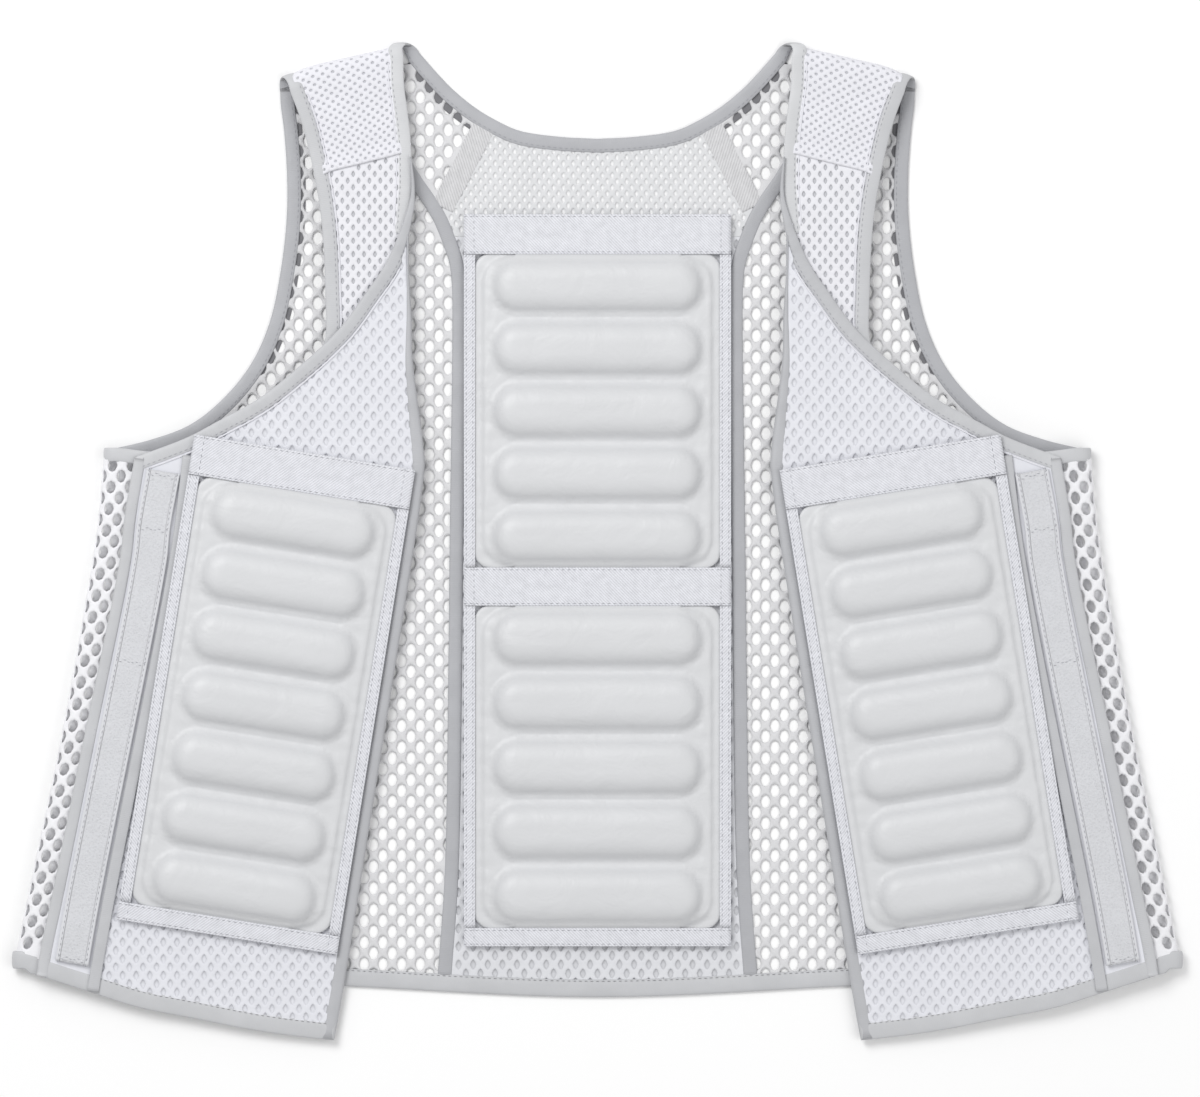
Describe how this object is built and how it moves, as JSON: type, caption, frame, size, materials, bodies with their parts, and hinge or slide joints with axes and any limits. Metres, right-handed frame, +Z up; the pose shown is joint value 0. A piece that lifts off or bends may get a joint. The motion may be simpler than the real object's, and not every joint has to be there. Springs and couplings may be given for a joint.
{
  "type": "cooling vest",
  "caption": "White mesh cooling vest laid open on its back, with gel packs in pockets on the back and on both folded front flaps.",
  "frame": {"origin": "on the floor under the middle of the vest as it lies", "axes": "+X to the right and +Y towards the shoulders as seen from above, +Z up"},
  "size_m": [0.702, 0.5981, 0.0243],
  "materials": {
    "net": "open knitted polyester net",
    "mesh": "diamond polyester mesh",
    "yoke": "fine spacer mesh",
    "tape": "woven twill tape",
    "binding": "grey folded binding tape",
    "hook": "hook-and-loop tape",
    "pack": "satin film over frozen gel"
  },
  "bodies": {
    "root": {"back_net_left": "net", "yoke_net_left": "net", "side_net_left": "net", "back_net_right": "net", "yoke_net_right": "net", "side_net_right": "net", "back_center_panel": "mesh", "front_panel_left": "mesh", "front_flap_left": "mesh", "front_panel_right": "mesh", "front_flap_right": "mesh", "shoulder_yoke_left": "yoke", "yoke_band_left": "yoke", "shoulder_yoke_right": "yoke", "yoke_band_right": "yoke", "back_pocket_top_tape": "tape", "back_pocket_middle_tape": "tape", "back_pocket_bottom_tape": "tape", "back_pocket_upper_tape_left": "tape", "back_pocket_upper_tape_right": "tape", "back_pocket_lower_tape_left": "tape", "back_pocket_lower_tape_right": "tape", "flap_pocket_top_tape_left": "tape", "flap_pocket_bottom_tape_left": "tape", "flap_pocket_inner_tape_left": "tape", "flap_pocket_outer_tape_left": "tape", "flap_pocket_top_tape_right": "tape", "flap_pocket_bottom_tape_right": "tape", "flap_pocket_inner_tape_right": "tape", "flap_pocket_outer_tape_right": "tape", "neck_binding": "binding", "hem_binding_back": "binding", "back_seam_binding_left": "binding", "armhole_binding_left": "binding", "hem_binding_front_left": "binding", "flap_neck_binding_left": "binding", "flap_edge_binding_left": "binding", "flap_hem_binding_left": "binding", "flap_fold_binding_left": "binding", "flap_seam_binding_left": "binding", "back_seam_binding_right": "binding", "armhole_binding_right": "binding", "hem_binding_front_right": "binding", "flap_neck_binding_right": "binding", "flap_edge_binding_right": "binding", "flap_hem_binding_right": "binding", "flap_fold_binding_right": "binding", "flap_seam_binding_right": "binding", "hook_strip_left_1": "hook", "hook_strip_left_2": "hook", "hook_strip_left_3": "hook", "hook_strip_right_1": "hook", "hook_strip_right_2": "hook", "hook_strip_right_3": "hook", "back_pack_upper": "pack", "back_pack_lower": "pack", "front_pack_left": "pack", "front_pack_right": "pack"}
  },
  "joints": []
}
